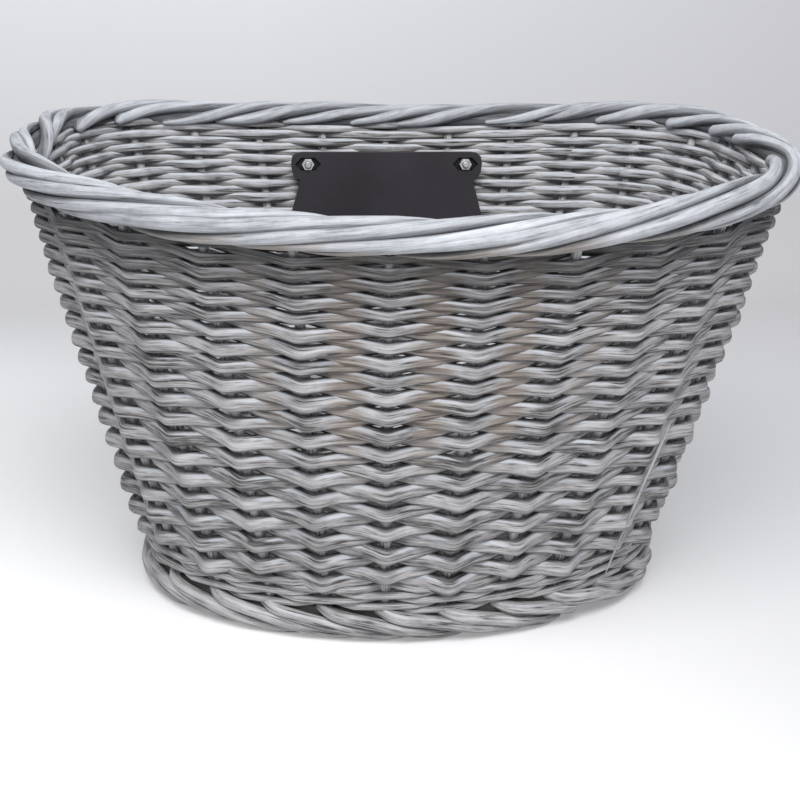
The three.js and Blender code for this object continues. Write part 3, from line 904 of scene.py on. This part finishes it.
def weave(finish):
    """One long spiral of rods. Its thin first and last rounds run out against the wale and the rim."""
    generator = np.random.default_rng(SEED)
    edges = weaver_edges(generator)
    for weaver, (first, last) in enumerate(zip(edges, edges[1:])):
        bundle = RodBundle()
        for start, end in rod_spans(generator, first, last):
            stake = stake_steps(start - ROD_OVERLAP, end + ROD_OVERLAP)
            row = stake / STAKES
            lower = row_edge(np.clip(row, 0, ROWS + 1 - THIN_ROW))
            upper = row_edge(np.clip(row + 1, THIN_ROW, ROWS + 1))
            woven_rod(bundle, generator, stake, lower, upper, over_and_under(stake))
        if weaver == WEAVERS - 1:
            tuck_under_rim(bundle, generator)
        name = f"weaver_{weaver + 1:02d}"
        bundle.piece(f"{name}_rods", finish, "washed_willow", name)


def tuck_under_rim(bundle, generator):
    """Last fine rows, packed up under the rim."""
    pitch = row_pitch(ROWS)
    for extra in range(TUCKED_ROWS):
        stake = stake_steps(extra, extra + STAKES)
        swing = TUCK_SWING * over_and_under(stake + extra) + TUCK_LEAN
        lower = np.full(len(stake), WEAVE_TOP + pitch * extra)
        woven_rod(bundle, generator, stake + ROWS * STAKES, lower, lower + pitch, swing)


# Stakes and wale

def stakes(finish):
    generator = np.random.default_rng(SEED + 1)
    level = np.linspace(FOOT_LEVEL, TIP_LEVEL + STAKE_INTO_RIM, STAKE_RINGS)
    for index, name in enumerate(STAKE_NAMES):
        bundle = RodBundle()
        stake = np.full(STAKE_RINGS, float(index))
        uneven = 1 + STAKE_UNEVEN * smooth_noise(generator, STAKE_RINGS, STAKE_KNOTS)
        radius = stake_radius(level) * uneven
        # Painted paler by tone and the light mark, as painted light
        bundle.add(wall_point(stake, level), radius, radius, stand=wall_out(stake, level),
                   tone=generator.uniform(*STAKE_TONES), light=STAKE_PAINTED_LIGHT)
        if index == STICK_STAKE:
            stray_stick(bundle)
        bundle.piece(f"{name}_rod", finish, "washed_willow", name)


def stray_stick(bundle):
    """A thin split that lies down the front of the woven rods."""
    level = np.linspace(*STICK_LEVELS, STICK_RINGS)
    stake = STICK_STAKE + np.linspace(*STICK_LEAN, STICK_RINGS)
    radius = np.linspace(*STICK_TAPER, STICK_RINGS) * STICK_RADIUS
    path = wall_point(stake, level) + wall_normal(stake, level) * STICK_STAND_OFF
    bundle.add(path, radius, radius, stand=wall_out(stake, level), tone=STICK_TONE, light=STICK_LIGHT)


def wale(finish):
    generator = np.random.default_rng(SEED + 2)
    bundle = RodBundle()
    pitch = (WEAVE_BOTTOM - WALE_BOTTOM) / WALE_ROWS
    for row in range(WALE_ROWS + 1):
        first = row * WALE_SHIFT
        stake = stake_steps(first + WALE_ENDS[0], first + STAKES + WALE_ENDS[1])
        uneven = 1 + WALE_UNEVEN * smooth_noise(generator, len(stake), len(KINK_STEPS))
        half_height = pitch * WALE_HEIGHT_SHARE * uneven
        half_depth = half_height * WALE_DEPTH_SHARE
        phase = 2 * np.pi * (stake + row) / WALE_STROKE
        swing = np.clip(WALE_LEAN + WALE_SWING * np.cos(phase), *WALE_SWING_LIMITS)
        level = WALE_BOTTOM + (row + WALE_LIFT) * pitch + WALE_WAVE * pitch * np.sin(phase)
        stand_off = stake_radius(level) * ROD_HUG + half_depth
        path = wall_point(stake, level) + wall_normal(stake, level) * (stand_off * swing)[:, None]
        # Painted shade under each wale rod and on its hidden side, and a painted highlight on its upper
        # shoulders
        behind = ramped(-OUTWARD * swing[:, None])
        bundle.add(path, half_height, half_depth, blunt=ROD_BLUNT, tone=generator.uniform(*WALE_TONES),
                   dark=ramped(UNDER_SIDE_SHADE * WALE_UNDER_DARK + WALE_BEHIND_DARK * behind),
                   light=WALE_HIGHLIGHT * SHOULDER_HIGHLIGHT)
    bundle.piece("bottom_wale_rods", finish, "washed_willow", "bottom_wale")


# Rim and foot

def with_ends(run):
    """Adds steps at both ends of a run from 0 to 1, so that a rod's ends can be round."""
    close = END_STEPS[1:] * RUN_END_SHARE
    return np.concatenate([run[:1], close, run[1:-1], 1 - close[::-1], run[-1:]])


def left_end(stake):
    """1 at the left end of the basket, where the rim lies loose, down to 0 away from it."""
    return np.exp(-(stakes_from(stake, LEFT_END) / RIM_LOOSE_STAKES) ** 2)


def rim_place(stake, angle, reach):
    """The direction to a place in the rim, by its angle round the bundle's middle, and the place."""
    level = np.full(len(stake), RIM_LEVEL)
    out = wall_out(stake, level)
    middle = wall_point(stake, level) + out * (RIM_LOOSE_END * left_end(stake))[:, None]
    away = out * np.cos(angle)[:, None] + UP * np.sin(angle)[:, None]
    return away, middle + away * np.asarray(reach)[:, None]


def rim_rod(bundle, generator, index):
    """One bent-over stake. It starts under the rim, climbs up its outside and ends on the inside."""
    end = RIM_END + generator.uniform(-RIM_END_SPREAD, RIM_END_SPREAD)
    span = (end - RIM_START) / RIM_TURN_PER_STAKE
    run = with_ends(np.linspace(0, 1, int(span * RIM_RINGS)))
    count = len(run)
    stake = index + generator.uniform(-RIM_START_SPREAD, RIM_START_SPREAD) + span * run
    wander = generator.uniform(-RIM_WANDER_SPREAD, RIM_WANDER_SPREAD)
    wander = wander + RIM_WANDER * smooth_noise(generator, count, RIM_KNOTS)
    angle = RIM_START + (end - RIM_START) * rounded(np.interp(run, RIM_STEPS, RIM_CLIMB)) + wander
    aside = np.abs(wall_point(stake[-1:], RIM_LEVEL)[0, 0])
    at_bend = np.interp(aside, RIM_BENDS, (0, 1))
    swell = np.interp(run, RIM_SWELL_STEPS, (*RIM_SWELL, between(RIM_TIP_SWELL, at_bend)))
    radius = RIM_ROD_RADIUS * swell * generator.uniform(*RIM_THICKNESS_SPREAD)
    radius = radius * (1 + RIM_UNEVEN * smooth_noise(generator, count, RIM_UNEVEN_KNOTS))
    loose = generator.uniform(*RIM_LOOSE_SPREAD)
    loose = loose * (1 + RIM_LOOSENESS * smooth_noise(generator, count, RIM_KNOTS))
    tucked = np.interp(run, RIM_TUCK_STEPS, (*RIM_TUCKS, between(RIM_TIP_TUCK, at_bend)))
    tucked = tucked + RIM_SPLAY * generator.uniform(*RIM_SPLAY_SPREAD) * left_end(stake)
    stand, path = rim_place(stake, angle, RIM_BUNDLE_RADIUS * loose * tucked)
    # Painted shade in the seams between the rim's rods and on their undersides; tan on the undersides
    # towards the front
    under = np.interp(-np.sin(angle), RIM_UNDERSIDE, (0, 1))[:, None]
    seam_shade = RIM_SEAM_SHADE * (ramped(np.abs(OUTWARD), *RIM_SEAM_RAMP) + ramped(-UPWARD))
    bundle.add(path, radius, radius, stand=stand, cap=RIM_CAP, tone=generator.uniform(0, 1),
               dark=ramped(seam_shade + RIM_UNDERSIDE_SHADE * under),
               bare=under * front_share(stake, RIM_BARE_REACH)[:, None])


def rim(finish):
    """The rim's rods round a core painted wholly dark, as painted shade in the gaps between them."""
    generator = np.random.default_rng(SEED + 3)
    bundle = RodBundle()
    for index in range(STAKES):
        rim_rod(bundle, generator, index)
    stake = np.linspace(0, STAKES, STAKES * RINGS_PER_STAKE)
    stand, path = rim_place(stake, np.zeros(len(stake)), np.zeros(len(stake)))
    radius = np.full(len(stake), RIM_CORE_RADIUS)
    # Painted shade: the core is marked fully dark
    bundle.add(path, radius, radius, stand=stand, dark=1.0)
    bundle.piece("rim_border_rods", finish, "pale_willow", "rim_border")


def foot(finish):
    generator = np.random.default_rng(SEED + 4)
    bundle = RodBundle()
    steps = with_ends(np.linspace(0, 1, FOOT_RINGS))
    ground = np.full(len(steps), FOOT_LEVEL)
    for index in range(STAKES):
        cut = index == CUT_FOOT
        run = between((FOOT_PLACES[0], CUT_FOOT_END if cut else FOOT_PLACES[-1]), steps)
        stake = index + generator.uniform(*FOOT_SPREAD) * run
        swell = np.interp(run, FOOT_SWELL_PLACES, FOOT_SWELL)
        radius = FOOT_ROD_RADIUS * swell * generator.uniform(*FOOT_SPREAD)
        level, reach = (rounded(np.interp(run, FOOT_PLACES, values))
                        for values in (FOOT_ROD_LEVELS, FOOT_REACHES))
        beside = (BOARD_EDGE + FOOT_ROD_RADIUS * reach)[:, None]
        path = wall_point(stake, ground) + wall_out(stake, ground) * beside
        path[:, 2] = np.maximum(level + FOOT_LIFT * generator.uniform(-1, 1), radius)
        # Painted highlight on the shoulders, painted shade underneath and on the inner side
        bundle.add(path, radius, radius, cap=CUT_FOOT_CAP if cut else FOOT_CAP,
                   tone=generator.uniform(*FOOT_TONES), light=FOOT_HIGHLIGHT * SHOULDER_HIGHLIGHT,
                   dark=FOOT_UNDER_DARK * UNDER_SIDE_SHADE + FOOT_INSIDE_DARK * ramped(-OUTWARD))
    bundle.piece("foot_border_rods", finish, "washed_willow", "foot_border")


# Board and plates

def round_edges(piece, width, sharp, keep_flat):
    """Rounds the edges that are sharper than an angle, and keeps the faces beside them flat if told to."""
    rounding = piece.modifiers.new("rounded_edges", "BEVEL")
    rounding.width = width
    rounding.segments = BEVEL_SEGMENTS
    rounding.limit_method = "ANGLE"
    rounding.angle_limit = sharp
    rounding.harden_normals = keep_flat


def shade_pockets(mesh):
    """Marks the places between a plate's two faces as deep, for the painted shade of its pockets."""
    across = max(mesh.polygons, key=lambda face: face.area).normal
    depth = np.array([across.dot(vertex.co) for vertex in mesh.vertices])
    mark(mesh, "deep", (depth > depth.min() + POCKET_MARGIN) & (depth < depth.max() - POCKET_MARGIN))


def softened(node_name, piece_name, bevel, finish, slot):
    """A copy of a node with its flat faces rejoined and its sharp edges rounded."""
    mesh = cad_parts[node_name].data.copy()
    mesh.name = piece_name
    made = bmesh.new()
    made.from_mesh(mesh)
    bmesh.ops.remove_doubles(made, verts=made.verts, dist=MERGE_WITHIN)
    bmesh.ops.dissolve_limit(made, angle_limit=FLAT_WITHIN, verts=made.verts, edges=made.edges)
    made.to_mesh(mesh)
    made.free()
    shade_pockets(mesh)
    mesh.polygons.foreach_set("use_smooth", [False] * len(mesh.polygons))
    piece = bpy.data.objects.new(piece_name, mesh)
    round_edges(piece, bevel, MOULDING_SHARP, True)
    settle(piece, finish, slot, node_name)


def base_board(finish):
    low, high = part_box("base_board")
    steps = STAKES * RINGS_PER_STAKE
    stake = np.linspace(0, STAKES, steps, endpoint=False)
    level = np.full(steps, (low.z + high.z) / 2)
    edge = wall_point(stake, level) + wall_out(stake, level) * BOARD_EDGE
    made = bmesh.new()
    face = made.faces.new([made.verts.new((x, y, low.z)) for x, y, _ in edge])
    raised = bmesh.ops.extrude_face_region(made, geom=[face])
    bmesh.ops.translate(made, vec=(0, 0, high.z - low.z),
                        verts=[item for item in raised["geom"] if isinstance(item, bmesh.types.BMVert)])
    bmesh.ops.recalc_face_normals(made, faces=made.faces)
    mesh = bpy.data.meshes.new("base_board_panel")
    made.to_mesh(mesh)
    made.free()
    piece = bpy.data.objects.new("base_board_panel", mesh)
    round_edges(piece, BOARD_BEVEL, BOARD_SHARP, False)
    settle(piece, finish, "painted_board", "base_board")


# Stage, light and camera

def stage():
    """A pale floor that sweeps up into a backdrop."""
    profile = [(STAGE_FRONT, 0.0)]
    for step in range(CURVE_STEPS + 1):
        angle = math.pi / 2 * step / CURVE_STEPS
        away = FLOOR_BACK + FLOOR_CURVE * (math.sin(angle) - 1)
        profile.append((away, FLOOR_CURVE * (1 - math.cos(angle))))
    profile.append((FLOOR_BACK, STAGE_RISE))
    points = [(x, y, z) for y, z in profile for x in (-STAGE_WIDTH / 2, STAGE_WIDTH / 2)]
    faces = [(2 * i, 2 * i + 1, 2 * i + 3, 2 * i + 2) for i in range(len(profile) - 1)]
    mesh = smooth_mesh("sweep", points, faces)
    sweep = bpy.data.objects.new("sweep", mesh)
    into_scene(sweep)
    mesh.materials.append(paper_finish())


def light():
    """One large lamp in front and above, and the pale room."""
    lamp = bpy.data.lights.new("front_light", "AREA")
    lamp.shape = "DISK"
    lamp.size = LAMP_SIZE
    lamp.energy = LAMP_POWER
    holder = bpy.data.objects.new("front_light", lamp)
    holder.location = LAMP_PLACE
    holder.rotation_mode = "QUATERNION"
    holder.rotation_quaternion = (LAMP_TARGET - LAMP_PLACE).to_track_quat("-Z", "Y")
    into_scene(holder)
    world = bpy.data.worlds.new("room")
    bpy.context.scene.world = world
    world.use_nodes = True
    background = world.node_tree.nodes["Background"]
    background.inputs["Color"].default_value = ROOM_COLOUR
    background.inputs["Strength"].default_value = ROOM_LIGHT


def camera():
    lens = bpy.data.cameras.new("photo_view")
    lens.sensor_width = SENSOR
    lens.lens = SENSOR * FOCAL_PIXELS / PHOTO_PIXELS
    lens.shift_y = AXIS_BELOW_MIDDLE / PHOTO_PIXELS
    holder = bpy.data.objects.new("photo_view", lens)
    holder.location = CAMERA_PLACE
    level = math.cos(CAMERA_PITCH)
    ahead = Vector((math.sin(CAMERA_YAW) * level, math.cos(CAMERA_YAW) * level, -math.sin(CAMERA_PITCH)))
    holder.rotation_mode = "QUATERNION"
    holder.rotation_quaternion = ahead.to_track_quat("-Z", "Y") @ Quaternion((0, 0, 1), CAMERA_ROLL)
    into_scene(holder)
    bpy.context.scene.camera = holder


camera()
light()
stage()
washed = willow_finish("washed_willow", WASHED_LEVELS, NEUTRAL, WASHED_LINES)
# The rim's finish: the washed paint painted paler, as painted light, with fewer lines
pale = willow_finish("pale_willow", RIM_LIT_LEVELS, COOL, PALE_LINES)
black = moulded_finish()
zinc = zinc_finish()
weave(washed)
stakes(washed)
wale(washed)
rim(pale)
foot(washed)
base_board(board_finish())
for plate, plate_bevel in PLATE_BEVELS.items():
    softened(plate, f"{plate}_moulding", plate_bevel, black, "black_plastic")
for corner in FIXING_CORNERS:
    softened(f"bolt_{corner}", f"bolt_{corner}_turned", FIXING_BEVEL, zinc, "zinc_steel")
    softened(f"nut_{corner}", f"nut_{corner}_hexagon", FIXING_BEVEL, zinc, "zinc_steel")

bpy.context.scene.view_settings.view_transform = "Standard"
